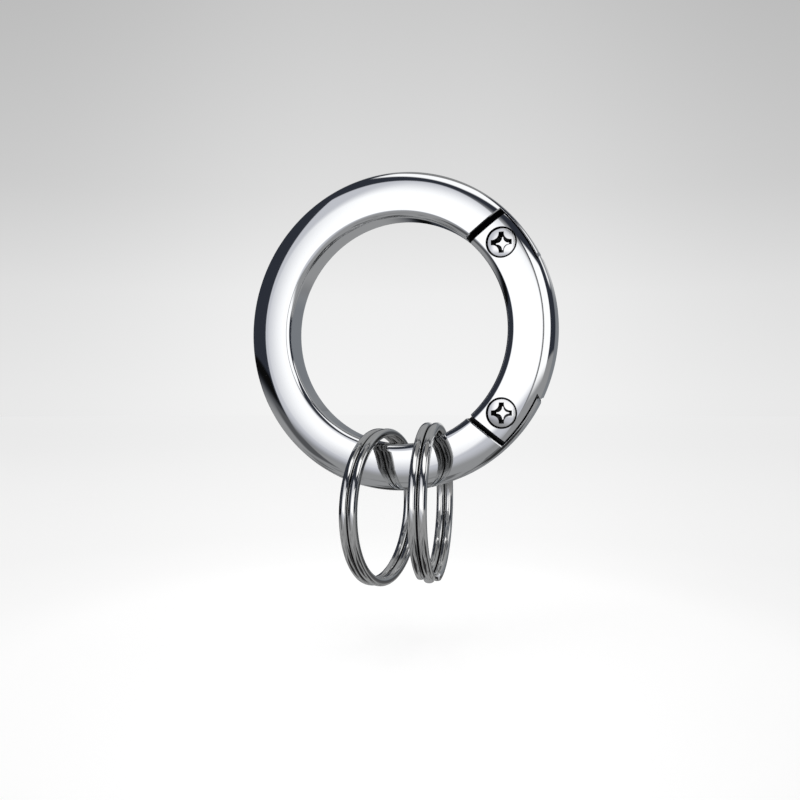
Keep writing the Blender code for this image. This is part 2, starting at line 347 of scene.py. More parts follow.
def polishNormals(mesh, centre, outline, sharpAngle):
    # True surface normals on every turned face, so that the mirror finish shows no facets.
    # outline: (radius, y, normalRadius, normalY) round an axis along Y through centre (x, z).
    smoothFaces(mesh, sharpAngle)
    tiny = 1e-9
    count = len(mesh.vertices)
    points = np.empty(count * 3)
    mesh.vertices.foreach_get("co", points)
    points = points.reshape(-1, 3)
    east, north = points[:, 0] - centre[0], points[:, 2] - centre[1]
    reach = np.hypot(east, north)
    flat = np.stack([reach, points[:, 1]], -1)
    table = np.array(outline)
    best = np.full(count, np.inf)
    turned = np.zeros((count, 2))
    for here, there in zip(table, np.roll(table, -1, axis=0)):
        along = there[:2] - here[:2]
        length = along @ along
        if length < tiny:
            continue
        share = np.clip(((flat - here[:2]) @ along) / length, 0, 1)
        gap = np.linalg.norm(flat - here[:2] - share[:, None] * along, axis=1)
        nearer = gap < best
        best[nearer] = gap[nearer]
        mixed = here[2:] + share[:, None] * (there[2:] - here[2:])
        turned[nearer] = mixed[nearer]
    turned /= np.maximum(np.linalg.norm(turned, axis=1), tiny)[:, None]
    safe = np.maximum(reach, tiny)
    exact = np.stack([turned[:, 0] * east / safe, turned[:, 1], turned[:, 0] * north / safe], -1)
    loops = len(mesh.loops)
    corner = np.empty(loops, np.int32)
    mesh.loops.foreach_get("vertex_index", corner)
    normals = np.empty(loops * 3, np.float32)
    mesh.corner_normals.foreach_get("vector", normals)
    normals = normals.reshape(-1, 3).astype(float)
    faceNormals = np.empty(len(mesh.polygons) * 3)
    mesh.polygons.foreach_get("normal", faceNormals)
    sizes = np.empty(len(mesh.polygons), np.int32)
    mesh.polygons.foreach_get("loop_total", sizes)
    owner = np.repeat(faceNormals.reshape(-1, 3), sizes, axis=0)
    wanted = exact[corner]
    near = best[corner] < polishLimits["reach"]
    alike = (wanted * owner).sum(1) > polishLimits["likeness"]
    onSurface = near & alike
    normals[onSurface] = wanted[onSurface]
    mesh.normals_split_custom_set(normals.tolist())


def toMetres(mesh):
    kept = [tuple(n.vector) for n in mesh.corner_normals]
    mesh.transform(Matrix.Scale(mm, 4))
    mesh.normals_split_custom_set(kept)
    return mesh


def turnedMesh(name, profile, segments, centre, finishes, inShade=False):
    # profile: (radius, y) from one end of the axis to the other, round Y through centre (x, z)
    points, faces = [(centre[0], profile[0][1], centre[1])], []
    rows = profile[1:-1]
    for radius, y in rows:
        for k in range(segments):
            angle = fullTurn * k / segments
            points.append((centre[0] + radius * math.cos(angle), y, centre[1] + radius * math.sin(angle)))
    points.append((centre[0], profile[-1][1], centre[1]))
    last = len(points) - 1
    for k in range(segments):
        n = (k + 1) % segments
        faces.append((0, 1 + k, 1 + n))
        faces.append((last, last - segments + n, last - segments + k))
        for row in range(len(rows) - 1):
            a = 1 + row * segments
            faces.append((a + k, a + segments + k, a + segments + n, a + n))
    # With the flag set, every face takes the painted-shade finish.
    return meshOf(name, points, faces, finishes, range(len(faces)) if inShade else ())


# The big ring's bar

barShape = dict(
    innerRadius=18.0,
    outerRadius=-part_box("ring_body")[0].x / mm,
    wallHalf=1.6,                # half the flat inner wall
    edgeRound=0.75,              # rounded inner edge, up to the bevel
    bevelRound=2.36,             # slightly rounded bevel
    bevelTilts=(31.0, 14.0),     # how far the bevel leans, at its inner and outer edges
    blendRound=0.66,             # tight bend from the bevel to the face
    faceTilt=3.0,                # lean of the face where it leaves the bevel
    crownTo=21.95,               # the face rises to full thickness here, then rolls over
    faceHalf=2.6,
    rimHalf=1.5,                 # half the flat outer rim
    edgeChamfer=0.14,            # broken edges at the gate's ends
    sharpAngle=28.0,             # edges bent by more than this stay sharp
    degreesPerStep=1.0,          # steps round the ring
    edgeSteps=16,                # and along the section
    bevelSteps=10,
    blendSteps=6,
    crownSteps=14,
    rollSteps=40,
)


def barProfile(shape):
    # Half the section as (radius, depth, normalRadius, normalDepth), inner wall to rim.
    profile = []

    def sweep(hub, size, fromTilt, toTilt, steps):
        for k in range(steps + 1):
            tilt = math.radians(fromTilt + (toTilt - fromTilt) * k / steps)
            normal = Vector((-math.sin(tilt), math.cos(tilt)))
            profile.append((*(hub + size * normal), *normal))

    steep, gentle = shape["bevelTilts"]
    edge, bevel, face = shape["edgeRound"], shape["bevelRound"], shape["faceHalf"]
    sweep(Vector((shape["innerRadius"] + edge, shape["wallHalf"])), edge, 90.0, steep, shape["edgeSteps"])
    radius, depth, nr, nd = profile.pop()
    hub = Vector((radius - bevel * nr, depth - bevel * nd))
    sweep(hub, bevel, steep, gentle, shape["bevelSteps"])
    blend = shape["blendRound"]
    radius, depth, nr, nd = profile.pop()
    hub = Vector((radius - blend * nr, depth - blend * nd))
    sweep(hub, blend, gentle, shape["faceTilt"], shape["blendSteps"])
    start, depth = profile[-1][:2]
    crownRun, crownRise = shape["crownTo"] - start, face - depth
    for k in range(1, shape["crownSteps"] + 1):
        share = k / shape["crownSteps"]
        normal = Vector((-2 * crownRise * (1 - share) / crownRun, 1.0)).normalized()
        profile.append((start + crownRun * share, face - crownRise * (1 - share) ** 2, *normal))
    rollRun = shape["outerRadius"] - shape["crownTo"]
    rollDrop = face - shape["rimHalf"]
    for k in range(shape["rollSteps"] + 1):
        angle = quarterTurn * k / shape["rollSteps"]
        normal = Vector((rollDrop * math.sin(angle), rollRun * math.cos(angle))).normalized()
        radius = shape["outerRadius"] - rollRun * (1 - math.sin(angle))
        profile.append((radius, face - rollDrop * (1 - math.cos(angle)), *normal))
    return profile


def halfSection(profile, side, lapY, shape):
    # One side of the section, from the lap plane on the inner wall round to the lap plane on the rim.
    half = [(shape["innerRadius"], lapY, -1.0, 0.0)]
    half += [(r, side * d, nr, side * nd) for r, d, nr, nd in profile]
    half.append((shape["outerRadius"], lapY, 1.0, 0.0))
    return half


# Where the gate and the ring part: slanting end faces in front, round tongue tips behind

gateJoint = dict(
    screwAngle=37.0,
    barRadius=21.5,
    endSlant=38.0,
    gateEndFromScrew=3.3,
    upperGap=0.95,
    lowerGap=0.70,
    tongueTip=5.7,               # radius of a tongue's tip about its screw
    pocketTip=6.1,               # radius of the gate's pocket round that tip
    gateLapY=0.25,               # rear face of the gate's lap
    tongueLapY=0.6,              # front face of a tongue
    lipRadius=24.85,             # inside of the lip that each tongue carries along the rim
    lipRoom=0.2,                 # clearance between that lip and the gate
    lipEdge=0.07,                # rounded edges of the lip
    lipRoot=0.05,                # how deep it stands in its tongue
    lipBedded=0.4,               # how far inside the ring's solid end it starts
    lipHalf=0.1,                 # from its inner edge to its middle
    lipDraw=0.3,                 # its tip is drawn in to that middle by lipEdge over this
    lipSteps=24,
    lipEdgeSteps=6,
    cutterFar=54.0,              # the cut that makes room for the lip ends here
    cutterBeyond=30.0,           # and reaches out to this radius
    cutterReaches=(26.5, 26.1, 25.7, 25.4, 25.1, 24.9),  # its radii along the pocket's end
    cutterSteps=40,
    throughAll=6.0,              # cuts that go right through reach this far
)


def screwCentre(side):
    angle = math.radians(gateJoint["screwAngle"])
    return (gateJoint["barRadius"] * math.cos(angle), side * gateJoint["barRadius"] * math.sin(angle))


def endFace(gap):
    # Angle of a slanting end face as a function of radius, above the gate's middle.
    slant = math.radians(gateJoint["endSlant"])
    offCentre = gateJoint["barRadius"] * math.sin(math.radians(gateJoint["screwAngle"]) - slant)
    offset = offCentre + gateJoint["gateEndFromScrew"] + gap
    return lambda radius: slant + math.asin(offset / radius)


def tipArc(tipRadius):
    # Angle of a round tip about the screw as a function of radius.
    screwAngle, bar = math.radians(gateJoint["screwAngle"]), gateJoint["barRadius"]

    def angle(radius):
        spread = (radius ** 2 + bar ** 2 - tipRadius ** 2) / (2 * radius * bar)
        return screwAngle - math.acos(spread)

    return angle


def lappedBar(name, longHalf, shortHalf, ends, lapY, shape, finishes):
    # A stretch of the bar whose long half runs on past the short half at both ends.
    # ends: longStart, shortStart, shortEnd, longEnd, each an angle as a function of radius.
    longStart, shortStart, shortEnd, longEnd = ends
    chamfer = shape["edgeChamfer"]
    step = math.radians(shape["degreesPerStep"])

    def shifted(edge, sign):
        return lambda radius: edge(radius) + sign * chamfer / radius

    def between(low, high, share):
        return lambda radius: low(radius) * (1 - share) + high(radius) * share

    def run(low, high):
        count = max(2, round((high(shape["innerRadius"]) - low(shape["innerRadius"])) / step))
        return [between(low, high, k / count) for k in range(1, count)]

    stations = [longStart, shifted(longStart, 1)]
    stations += run(stations[-1], shortStart)
    firstShort = len(stations)
    stations += [shortStart, shifted(shortStart, 1)]
    stations += run(stations[-1], shifted(shortEnd, -1))
    lastShort = len(stations) + 1
    stations += [shifted(shortEnd, -1), shortEnd]
    stations += run(shortEnd, shifted(longEnd, -1))
    stations += [shifted(longEnd, -1), longEnd]
    last = len(stations) - 1

    points, faces = [], []

    def add(station, radius, y):
        angle = stations[station](radius)
        points.append((radius * math.cos(angle), y, radius * math.sin(angle)))
        return len(points) - 1

    def addRow(station, half, inset):
        row = []
        for radius, y, nr, ny in half:
            row.append(add(station, radius - inset * nr, y - inset * ny * (y != lapY)))
        return row

    longRows = {s: addRow(s, longHalf, chamfer * (s in (0, last))) for s in range(last + 1)}
    shortRows = {}
    for s in range(firstShort, lastShort + 1):
        if s in (firstShort, lastShort):
            shortRows[s] = addRow(s, shortHalf, chamfer)
            continue
        inside = [add(s, radius, y) for radius, y, nr, ny in shortHalf[1:-1]]
        shortRows[s] = [longRows[s][0]] + inside + [longRows[s][-1]]

    def skin(rows, low, high):
        for s in range(low, high):
            for k in range(len(rows[s]) - 1):
                faces.append((rows[s][k], rows[s][k + 1], rows[s + 1][k + 1], rows[s + 1][k]))

    skin(longRows, 0, last)
    skin(shortRows, firstShort, lastShort)

    def cap(station, row, half):
        # Closes a half's end in narrow strips, and gives back its edge on the lap plane.
        edge = [row[0]]
        radii = [radius - chamfer * nr for radius, y, nr, ny in half]
        for k in range(1, len(row) - 2):
            edge.append(add(station, radii[k + 1], lapY))
            faces.append((edge[-2], row[k], row[k + 1], edge[-1]))
        faces.append((edge[-1], row[-2], row[-1]))
        edge.append(row[-1])
        return edge

    skinFaces = len(faces)
    caps = {s: cap(s, longRows[s], longHalf) for s in (0, last)}
    caps.update({s: cap(s, shortRows[s], shortHalf) for s in (firstShort, lastShort)})
    firstRim = [longRows[s][-1] for s in range(1, firstShort + 2)]
    firstWall = [longRows[s][0] for s in range(1, firstShort + 2)]
    faces.append(caps[0] + firstRim + caps[firstShort][::-1] + firstWall[::-1])
    lastRim = [longRows[s][-1] for s in range(lastShort - 1, last)]
    lastWall = [longRows[s][0] for s in range(lastShort - 1, last)]
    faces.append(caps[lastShort] + lastRim + caps[last][::-1] + lastWall[::-1])
    # The end caps and lap faces take the painted-shade finish.
    return meshOf(name, points, faces, finishes, range(skinFaces, len(faces)))


def rimLip(name, profile, startAngle, tip, shape, finishes):
    # The thin lip of a tongue: the rim's own surface in front, a wall towards the gate inside.
    inside, edge = gateJoint["lipRadius"], gateJoint["lipEdge"]
    root = gateJoint["tongueLapY"] + gateJoint["lipRoot"]
    surface = [(r, -d) for r, d, nr, nd in profile if r > inside + edge]
    hubRadius, hubY = surface[0][0], surface[0][1] + edge
    section = [(inside, root), (inside, hubY)]
    steps = gateJoint["lipEdgeSteps"]
    for k in range(1, steps):
        angle = quarterTurn * k / steps
        section.append((hubRadius - edge * math.cos(angle), hubY - edge * math.sin(angle)))
    section += surface + [(shape["outerRadius"], root)]
    middle = hubRadius + gateJoint["lipHalf"]
    count = gateJoint["lipSteps"]
    points = []
    for k in range(count + 2):
        share = min(k / count, 1.0)
        drawn = edge * (k > count)             # the last row is the tip's face, drawn in all round
        for radius, y in section:
            run = tip(radius) - startAngle
            angle = startAngle + run * share - math.copysign(edge / radius, run) * (k == count)
            inward = radius + (middle - radius) * drawn / gateJoint["lipDraw"]
            points.append((inward * math.cos(angle), y + drawn * (y < root), inward * math.sin(angle)))
    size = len(section)
    faces = tubeFaces(count + 2, size)
    # The lip's wall towards the gate and its bedded face take the painted-shade finish.
    lipShadeFaces = [2 + k * size + n for k in range(count + 1) for n in (0, size - 1)]
    return meshOf(name, points, faces, finishes, lipShadeFaces)


def lipCutter(side, finishes):
    # Everything outside the lip's inner wall, past the end of the gate's pocket
    radius = gateJoint["lipRadius"] - gateJoint["lipRoom"]
    pocket = tipArc(gateJoint["pocketTip"])
    far, beyond = math.radians(gateJoint["cutterFar"]), gateJoint["cutterBeyond"]
    steps, reaches = gateJoint["cutterSteps"], gateJoint["cutterReaches"]
    plan = []
    for k in range(steps + 1):
        share = k / steps
        plan.append((radius, pocket(radius) * (1 - share) + far * share))
    plan += [(beyond, far), (beyond, pocket(reaches[0]))]
    plan += [(reach, pocket(reach)) for reach in reaches]
    depths = (-gateJoint["throughAll"], gateJoint["throughAll"])
    points = [(r * math.cos(a), y, side * r * math.sin(a)) for y in depths for r, a in plan]
    faces = tubeFaces(2, len(plan))
    # Its faces put painted shade on the walls it cuts.
    return meshOf("cutter", points, faces, finishes, range(len(faces)))


def joinMeshes(name, parts, finishes):
    # Keeps the normals that each part was given.
    kept = [tuple(n.vector) for part in parts for n in part.corner_normals]
    bm = bmesh.new()
    for part in parts:
        bm.from_mesh(part)
    joined = meshFrom(bm, name, finishes)
    joined.shade_smooth()
    joined.normals_split_custom_set(kept)
    return joined


def fullOutline(profile):
    front = [(r, -d, nr, -nd) for r, d, nr, nd in profile]
    return front + profile[::-1]


screwShape = dict(
    headRadius=2.2,
    headRoom=0.2,                # clearance round the head
    headDepth=1.5,
    seatRoom=0.3,
    domeRise=0.2,
    domeSteps=12,
    headEdge=0.14,
    headEdgeSteps=7,
    headSharp=24.0,              # edges bent by more than this stay sharp
    topY=-2.6,
    endY=2.3,
    shankRadius=1.25,
    shankBedded=0.2,             # the shank starts this far up in the head
    shankSharp=40.0,
    holeRadius=1.45,
    threadPitch=0.45,
    threadDepth=0.22,
    threadFlank=(1.3, 0.1),      # steepness of the thread's flanks, and how much its crests are flattened
    threadSides=40,
    rowsPerPitch=12,
    tipScale=0.72,               # dog point at the tip
    tipRun=0.6,
    wingReach=1.65,
    wingHalf=0.41,
    wingHub=0.82,                # hub of the round corners between the wings, over the reach
    starReach=0.98,
    starHalf=0.09,
    starHub=0.94,
    cornerSteps=10,
    recessAbove=1.0,             # the recess's cutter starts this far above the head
    recessWall=0.05,             # and is upright down to here
    recessDepth=1.25,
    segments=96,
)


def holeCutter(side, radius, front, back, finishes):
    line = [(0, front), (radius, front), (radius, back), (0, back)]
    # The hole's walls take the painted-shade finish.
    return turnedMesh("cutter", line, screwShape["segments"], screwCentre(side), finishes, inShade=True)


profile = barProfile(barShape)
outline = fullOutline(profile)


def flipped(edge):
    return lambda radius: -edge(radius)


def wrapped(edge):
    return lambda radius: fullTurn - edge(radius)


def makeRing(finishes):
    front = halfSection(profile, -1, gateJoint["tongueLapY"], barShape)
    rear = halfSection(profile, 1, gateJoint["tongueLapY"], barShape)
    tip = tipArc(gateJoint["tongueTip"])
    upper, lower = endFace(gateJoint["upperGap"]), endFace(gateJoint["lowerGap"])
    ends = (tip, upper, wrapped(lower), wrapped(tip))
    mesh = lappedBar("polishedRing", rear, front, ends, gateJoint["tongueLapY"], barShape, finishes)
    hole, through = screwShape["holeRadius"], gateJoint["throughAll"]
    parts = [carve(mesh, [holeCutter(side, hole, 0.0, through, finishes) for side in (1, -1)])]
    rim = barShape["outerRadius"]
    bedded = gateJoint["lipBedded"] / rim
    parts.append(rimLip("lip", profile, upper(rim) + bedded, tip, barShape, finishes))
    parts.append(rimLip("lip", profile, -lower(rim) - bedded, flipped(tip), barShape, finishes))
    for part in parts:
        polishNormals(part, (0.0, 0.0), outline, barShape["sharpAngle"])
    return toMetres(joinMeshes("polishedRing", parts, finishes))


def makeGate(finishes):
    front = halfSection(profile, -1, gateJoint["gateLapY"], barShape)
    rear = halfSection(profile, 1, gateJoint["gateLapY"], barShape)
    pocket, end = tipArc(gateJoint["pocketTip"]), endFace(0.0)
    ends = (flipped(end), flipped(pocket), pocket, end)
    mesh = lappedBar("polishedGate", front, rear, ends, gateJoint["gateLapY"], barShape, finishes)
    bore = screwShape["headRadius"] + screwShape["headRoom"]
    seat = screwShape["topY"] + screwShape["headDepth"] + screwShape["seatRoom"]
    hole, through = screwShape["holeRadius"], gateJoint["throughAll"]
    cutters = []
    for side in (1, -1):
        cutters.append(lipCutter(side, finishes))
        cutters.append(holeCutter(side, bore, -through, seat, finishes))
        cutters.append(holeCutter(side, hole, -through, through, finishes))
    mesh = carve(mesh, cutters)
    polishNormals(mesh, (0.0, 0.0), outline, barShape["sharpAngle"])
    mesh.name = "polishedGate"
    return toMetres(mesh)


# Screws

def crossPlan(reach, half, hubShare):
    # Four square-ended wings with round corners between them
    hub, steps = reach * hubShare, screwShape["cornerSteps"]
    wing = [(reach, -half), (reach, half)]
    for k in range(steps + 1):
        angle = quarterTurn * k / steps
        wing.append((hub - (hub - half) * math.sin(angle), hub - (hub - half) * math.cos(angle)))
    turns = [Matrix.Rotation(n * quarterTurn, 2) for n in range(4)]
    return [turn @ Vector(p) for turn in turns for p in wing]


def crossRecess(centre, finishes):
    # The driver's recess: a cross at the top, drawn in to a star on the floor
    cross = crossPlan(screwShape["wingReach"], screwShape["wingHalf"], screwShape["wingHub"])
    star = crossPlan(screwShape["starReach"], screwShape["starHalf"], screwShape["starHub"])
    top = screwShape["topY"]
    levels = [
        (cross, top - screwShape["recessAbove"]),
        (cross, top + screwShape["recessWall"]),
        (star, top + screwShape["recessDepth"]),
    ]
    points = [(centre[0] + p.x, y, centre[1] + p.y) for plan, y in levels for p in plan]
    faces = tubeFaces(len(levels), len(cross))
    # The recess's walls take the painted-shade finish.
    return meshOf("cutter", points, faces, finishes, range(2, len(faces)))


def screwHeadProfile():
    # (radius, y, normalRadius, normalY) from the crown of the head to its underside
    head, top = screwShape["headRadius"], screwShape["topY"]
    rise, edge = screwShape["domeRise"], screwShape["headEdge"]
    flatTop = head - edge
    bend = (flatTop ** 2 + rise ** 2) / (2 * rise)
    made = []
    for k in range(screwShape["domeSteps"] + 1):
        radius = flatTop * k / screwShape["domeSteps"]
        drop = bend - math.sqrt(bend ** 2 - radius ** 2)
        made.append((radius, top + drop, radius / bend, -math.sqrt(1 - (radius / bend) ** 2)))
    lean = math.asin(flatTop / bend)
    for k in range(1, screwShape["headEdgeSteps"] + 1):
        angle = lean + (quarterTurn - lean) * k / screwShape["headEdgeSteps"]
        made.append((flatTop + edge * (math.sin(angle) - math.sin(lean)) / (1 - math.sin(lean)),
                     top + rise + edge * (math.cos(lean) - math.cos(angle)),
                     math.sin(angle), -math.cos(angle)))
    return made


def threadedShank(centre, fromY, toY, finishes):
    # A real helical thread, closed at both ends
    sides, pitch = screwShape["threadSides"], screwShape["threadPitch"]
    steepness, crest = screwShape["threadFlank"]
    rows = max(2, round((toY - fromY) / pitch * screwShape["rowsPerPitch"]))
    points = []
    for row in range(rows + 1):
        y = fromY + (toY - fromY) * row / rows
        taper = min(1.0, screwShape["tipScale"] + (toY - y) / screwShape["tipRun"])
        for k in range(sides):
            phase = (y / pitch - k / sides) % 1.0
            valley = min(1.0, max(0.0, steepness * abs(2 * phase - 1) - crest))
            radius = (screwShape["shankRadius"] - screwShape["threadDepth"] * valley) * taper
            angle = fullTurn * k / sides
            points.append((centre[0] + radius * math.cos(angle), y, centre[1] + radius * math.sin(angle)))
    return meshOf("shank", points, tubeFaces(rows + 1, sides), finishes)


def makeScrew(name, side, finishes):
    centre = screwCentre(side)
    head = screwHeadProfile()
    underside = screwShape["topY"] + screwShape["headDepth"]
    line = [(r, y) for r, y, nr, ny in head] + [(screwShape["headRadius"], underside), (0, underside)]
    blank = turnedMesh(name, line, screwShape["segments"], centre, finishes)
    mesh = carve(blank, [crossRecess(centre, finishes)])
    polishNormals(mesh, centre, head, screwShape["headSharp"])
    shank = threadedShank(centre, underside - screwShape["shankBedded"], screwShape["endY"], finishes)
    smoothFaces(shank, screwShape["shankSharp"])
    return toMetres(joinMeshes(name, (mesh, shank), finishes))


# Split rings: two turns of drawn wire with a jog between them

splitRing = dict(
    wireRadius=0.70,
    wireSquareness=2.5,          # 2 is a round wire; drawn flat wire is a little square
    wireSides=40,
    turnPitch=1.44,
    meanRadius=11.9,
    jogDegrees=30.0,
    stepsPerTurn=180,
    endRound=0.16,
    endSteps=4,
    sharpAngle=35.0,
)
splitRings = dict(
    left=dict(centre=(-2.75, 0.0, -28.11), turn=-6.0, start=167.0),
    right=dict(centre=(5.6, 0.0, -27.09), turn=5.3, start=298.0),
)


def wirePath(ring):
    jog = math.radians(splitRing["jogDegrees"])
    length = 2 * fullTurn - jog
    steps = round(splitRing["stepsPerTurn"] * length / fullTurn)
    turn = Matrix.Rotation(math.radians(ring["turn"]), 3, "Z")
    path = []
    for k in range(steps + 1):
        swept = length * k / steps
        share = min(max((swept - (fullTurn - jog)) / jog, 0.0), 1.0)
        across = splitRing["turnPitch"] * (share * share * (3 - 2 * share) - 0.5)
        angle = math.radians(ring["start"]) + swept
        flat = Vector((across, -math.cos(angle) * splitRing["meanRadius"],
                       math.sin(angle) * splitRing["meanRadius"]))
        out = Vector((0.0, -math.cos(angle), math.sin(angle)))
        path.append((turn @ flat + Vector(ring["centre"]), turn @ out))
    return path


def makeSplitRing(name, ring, finishes):
    path = wirePath(ring)
    sides, radius = splitRing["wireSides"], splitRing["wireRadius"]
    power, endRound = splitRing["wireSquareness"], splitRing["endRound"]
    stations = []
    last = len(path) - 1
    for k, (place, out) in enumerate(path):
        ahead = (path[min(k + 1, last)][0] - path[max(k - 1, 0)][0]).normalized()
        stations.append((place, ahead, out, radius))
    # Each cut end is drawn in over a small round edge.
    for end, sign in ((0, -1), (-1, 1)):
        place, ahead, out, full = stations[end]
        rounded = []
        for k in range(1, splitRing["endSteps"] + 1):
            angle = quarterTurn * k / splitRing["endSteps"]
            shift = ahead * sign * endRound * math.sin(angle)
            rounded.append((place + shift, ahead, out, full - endRound * (1 - math.cos(angle))))
        stations = rounded[::-1] + stations if end == 0 else stations + rounded
    points, wraps = [], []
    travelled = 0.0
    for k, (place, ahead, out, size) in enumerate(stations):
        if k:
            travelled += (place - stations[k - 1][0]).length
        side = ahead.cross(out).normalized()
        up = side.cross(ahead)
        for n in range(sides):
            across, along = math.sin(fullTurn * n / sides), math.cos(fullTurn * n / sides)
            reach = size / (abs(across) ** power + abs(along) ** power) ** (1 / power)
            points.append(place + reach * (along * up + across * side))
        wraps.append(travelled)
    mesh = meshOf(name, points, tubeFaces(len(stations), sides), finishes)
    layer = mesh.uv_layers.new(name="alongWire")
    # Faces on the seam take the full way round, not 0, for their last corners.
    for face in mesh.polygons:
        seam = any(mesh.loops[i].vertex_index % sides == 0 for i in face.loop_indices)
        wide = any(mesh.loops[i].vertex_index % sides == sides - 1 for i in face.loop_indices)
        for i in face.loop_indices:
            row, n = divmod(mesh.loops[i].vertex_index, sides)
            around = 1.0 if seam and wide and n == 0 else n / sides
            layer.data[i].uv = (wraps[row] * mm, around * fullTurn * radius * mm)
    smoothFaces(mesh, splitRing["sharpAngle"])
    mesh.transform(Matrix.Scale(mm, 4))
    return mesh


ringChrome = chromeFinish("ringChrome", chromeLook)
gateChrome = chromeFinish("gateChrome", chromeLook, tint=0.995)
# The second finish paints shade into the gaps, holes and recesses.
lapShadeMetal = lapShadeFinish("lapShadeMetal", lapShadeLook)
dress("polishedRing", makeRing((ringChrome, lapShadeMetal)), "ring", "ring_body")
dress("polishedGate", makeGate((gateChrome, lapShadeMetal)), "gate", "gate")
for label, side in (("upper", 1), ("lower", -1)):
    finish = screwFinish(label + "ScrewSteel", screwLook, screwCentre(side))
    piece = label + "ScrewPiece"
    dress(piece, makeScrew(piece, side, (finish, lapShadeMetal)), label + "_screw", label + "_screw")
wireSteel = wireFinish("wireSteel", wireLook, splitRing)
for label, ring in splitRings.items():
    piece = label + "SplitWire"
    node = "split_ring_" + label
    dress(piece, makeSplitRing(piece, ring, (wireSteel,)), node, node)


# Studio: a tent of softboxes and dark walls that only the metal sees

def grey(level):
    return (level,) * 3


tentLook = dict(
    radius=2.0,                  # in metres
    subdivisions=4,
    wall=(0.028, 0.032, 0.043),
    clutter=(0.03, 0.03, 0.032),  # low clutter of the studio, which breaks up the grey in the undersides
    clutterScale=2.4,            # per metre on the tent's wall
    clutterSpread=(0.52, 0.58),
    clutterHeights=(-36.0, -27.0),
    clutterDepth=0.62,
    bendMiddle=3.0,              # leftBend grows from this height
    topBendFrom=-14.0,           # topBend grows to the right of this bearing
    tiltFrom=-20.0,              # lowTilt turns about this bearing
    tiltTo=2.0,                  # and runs level to the right of this one
)
roomTone = (0.20, 0.212, 0.228)
highTone = (0.30, 0.305, 0.31)
paperTone = (0.30, 0.302, 0.305)
# Each patch: bearing and height (0 is the front, + is to the right or up), soft edges and tone.
# leftBend spreads a patch to the left below and above its middle, topBend lowers its top right corner,
# and lowTilt slopes its lower edge down to the right. Later patches lie over earlier ones.
tentPatches = [
    dict(name="backRight", bearing=(98, 181), height=(-12, 30), soft=(14, 14, 6, 12), tone=roomTone),
    dict(name="backLeft", bearing=(-181, -164), height=(-12, 30), soft=(1, 8, 6, 12), tone=roomTone),
    dict(name="backHighRight", bearing=(112, 181), height=(24, 78), soft=(16, 1, 10, 6), tone=highTone),
    dict(name="backHighLeft", bearing=(-181, -125), height=(24, 78), soft=(1, 16, 10, 6), tone=highTone),
    dict(name="rearKeyRight", bearing=(177, 181), height=(-4, 14), soft=(6, 1, 6, 10), tone=grey(0.7)),
    dict(name="rearKeyLeft", bearing=(-181, -168), height=(-4, 14), soft=(1, 8, 6, 10), tone=grey(0.7)),
    dict(name="ground", bearing=(-200, 200), height=(-91, -11), soft=(1, 1, 1, 14), tone=paperTone),
    dict(name="skirting", bearing=(-166, -37), height=(-7, -0.8), soft=(6, 1, 6, 1.5), tone=grey(0.004)),
    dict(name="underRight", bearing=(38, 150), height=(-66, -42), soft=(10, 20, 6, 6), tone=grey(0.03)),
    dict(name="underLeft", bearing=(-150, -36), height=(-90, -60), soft=(20, 10, 1, 6), tone=grey(0.03)),
    dict(name="ceiling", bearing=(-200, 200), height=(70, 92), soft=(1, 1, 3, 1), tone=grey(0.24)),
    dict(name="topStrip", bearing=(-62, 45), height=(51, 71), soft=(24, 10, 5, 3), tone=grey(1.12),
         lowTilt=0.27),
    dict(name="farRight", bearing=(66, 100), height=(24, 52), soft=(6, 10, 6, 8), tone=grey(0.95)),
    dict(name="lowLeft", bearing=(-50, -36), height=(-26, -8), soft=(8, 2, 5, 5),
         tone=(0.09, 0.092, 0.096)),
    dict(name="seam", bearing=(9, 16), height=(-7, 19), soft=(1, 1, 6, 6), tone=grey(0.16)),
    dict(name="frontEdge", bearing=(-34.2, 10.9), height=(-13, 37.3), soft=(1.6, 1, 14, 3),
         tone=(0.58, 0.59, 0.63), leftBend=(0.02, 0.0085), topBend=0.04, lowTilt=0.3),
    dict(name="frontKey", bearing=(-25.6, 10.9), height=(-3.2, 25.5), soft=(10.5, 3, 7, 28),
         tone=grey(1.17), leftBend=(0.012, -0.006), topBend=0.008, lowTilt=0.16),
    dict(name="groundRight", bearing=(12, 110), height=(-40, -6), soft=(2, 12, 1, 3), tone=paperTone),
    dict(name="sideKey", bearing=(14.4, 36), height=(-9.5, 26), soft=(1, 2, 9, 3), tone=grey(1.14)),
]


def windowMask(tree, lowValue, highValue, low, high, softLow, softHigh):
    rising = remap(tree, lowValue, low - softLow / 2, low + softLow / 2, 0.0, 1.0, "SMOOTHSTEP")
    falling = remap(tree, highValue, high - softHigh / 2, high + softHigh / 2, 1.0, 0.0, "SMOOTHSTEP")
    return calc(tree, "MULTIPLY", rising, falling)


def squareAbove(tree, value, start):
    return calc(tree, "POWER", calc(tree, "MAXIMUM", calc(tree, "SUBTRACT", value, start), 0.0), 2.0)


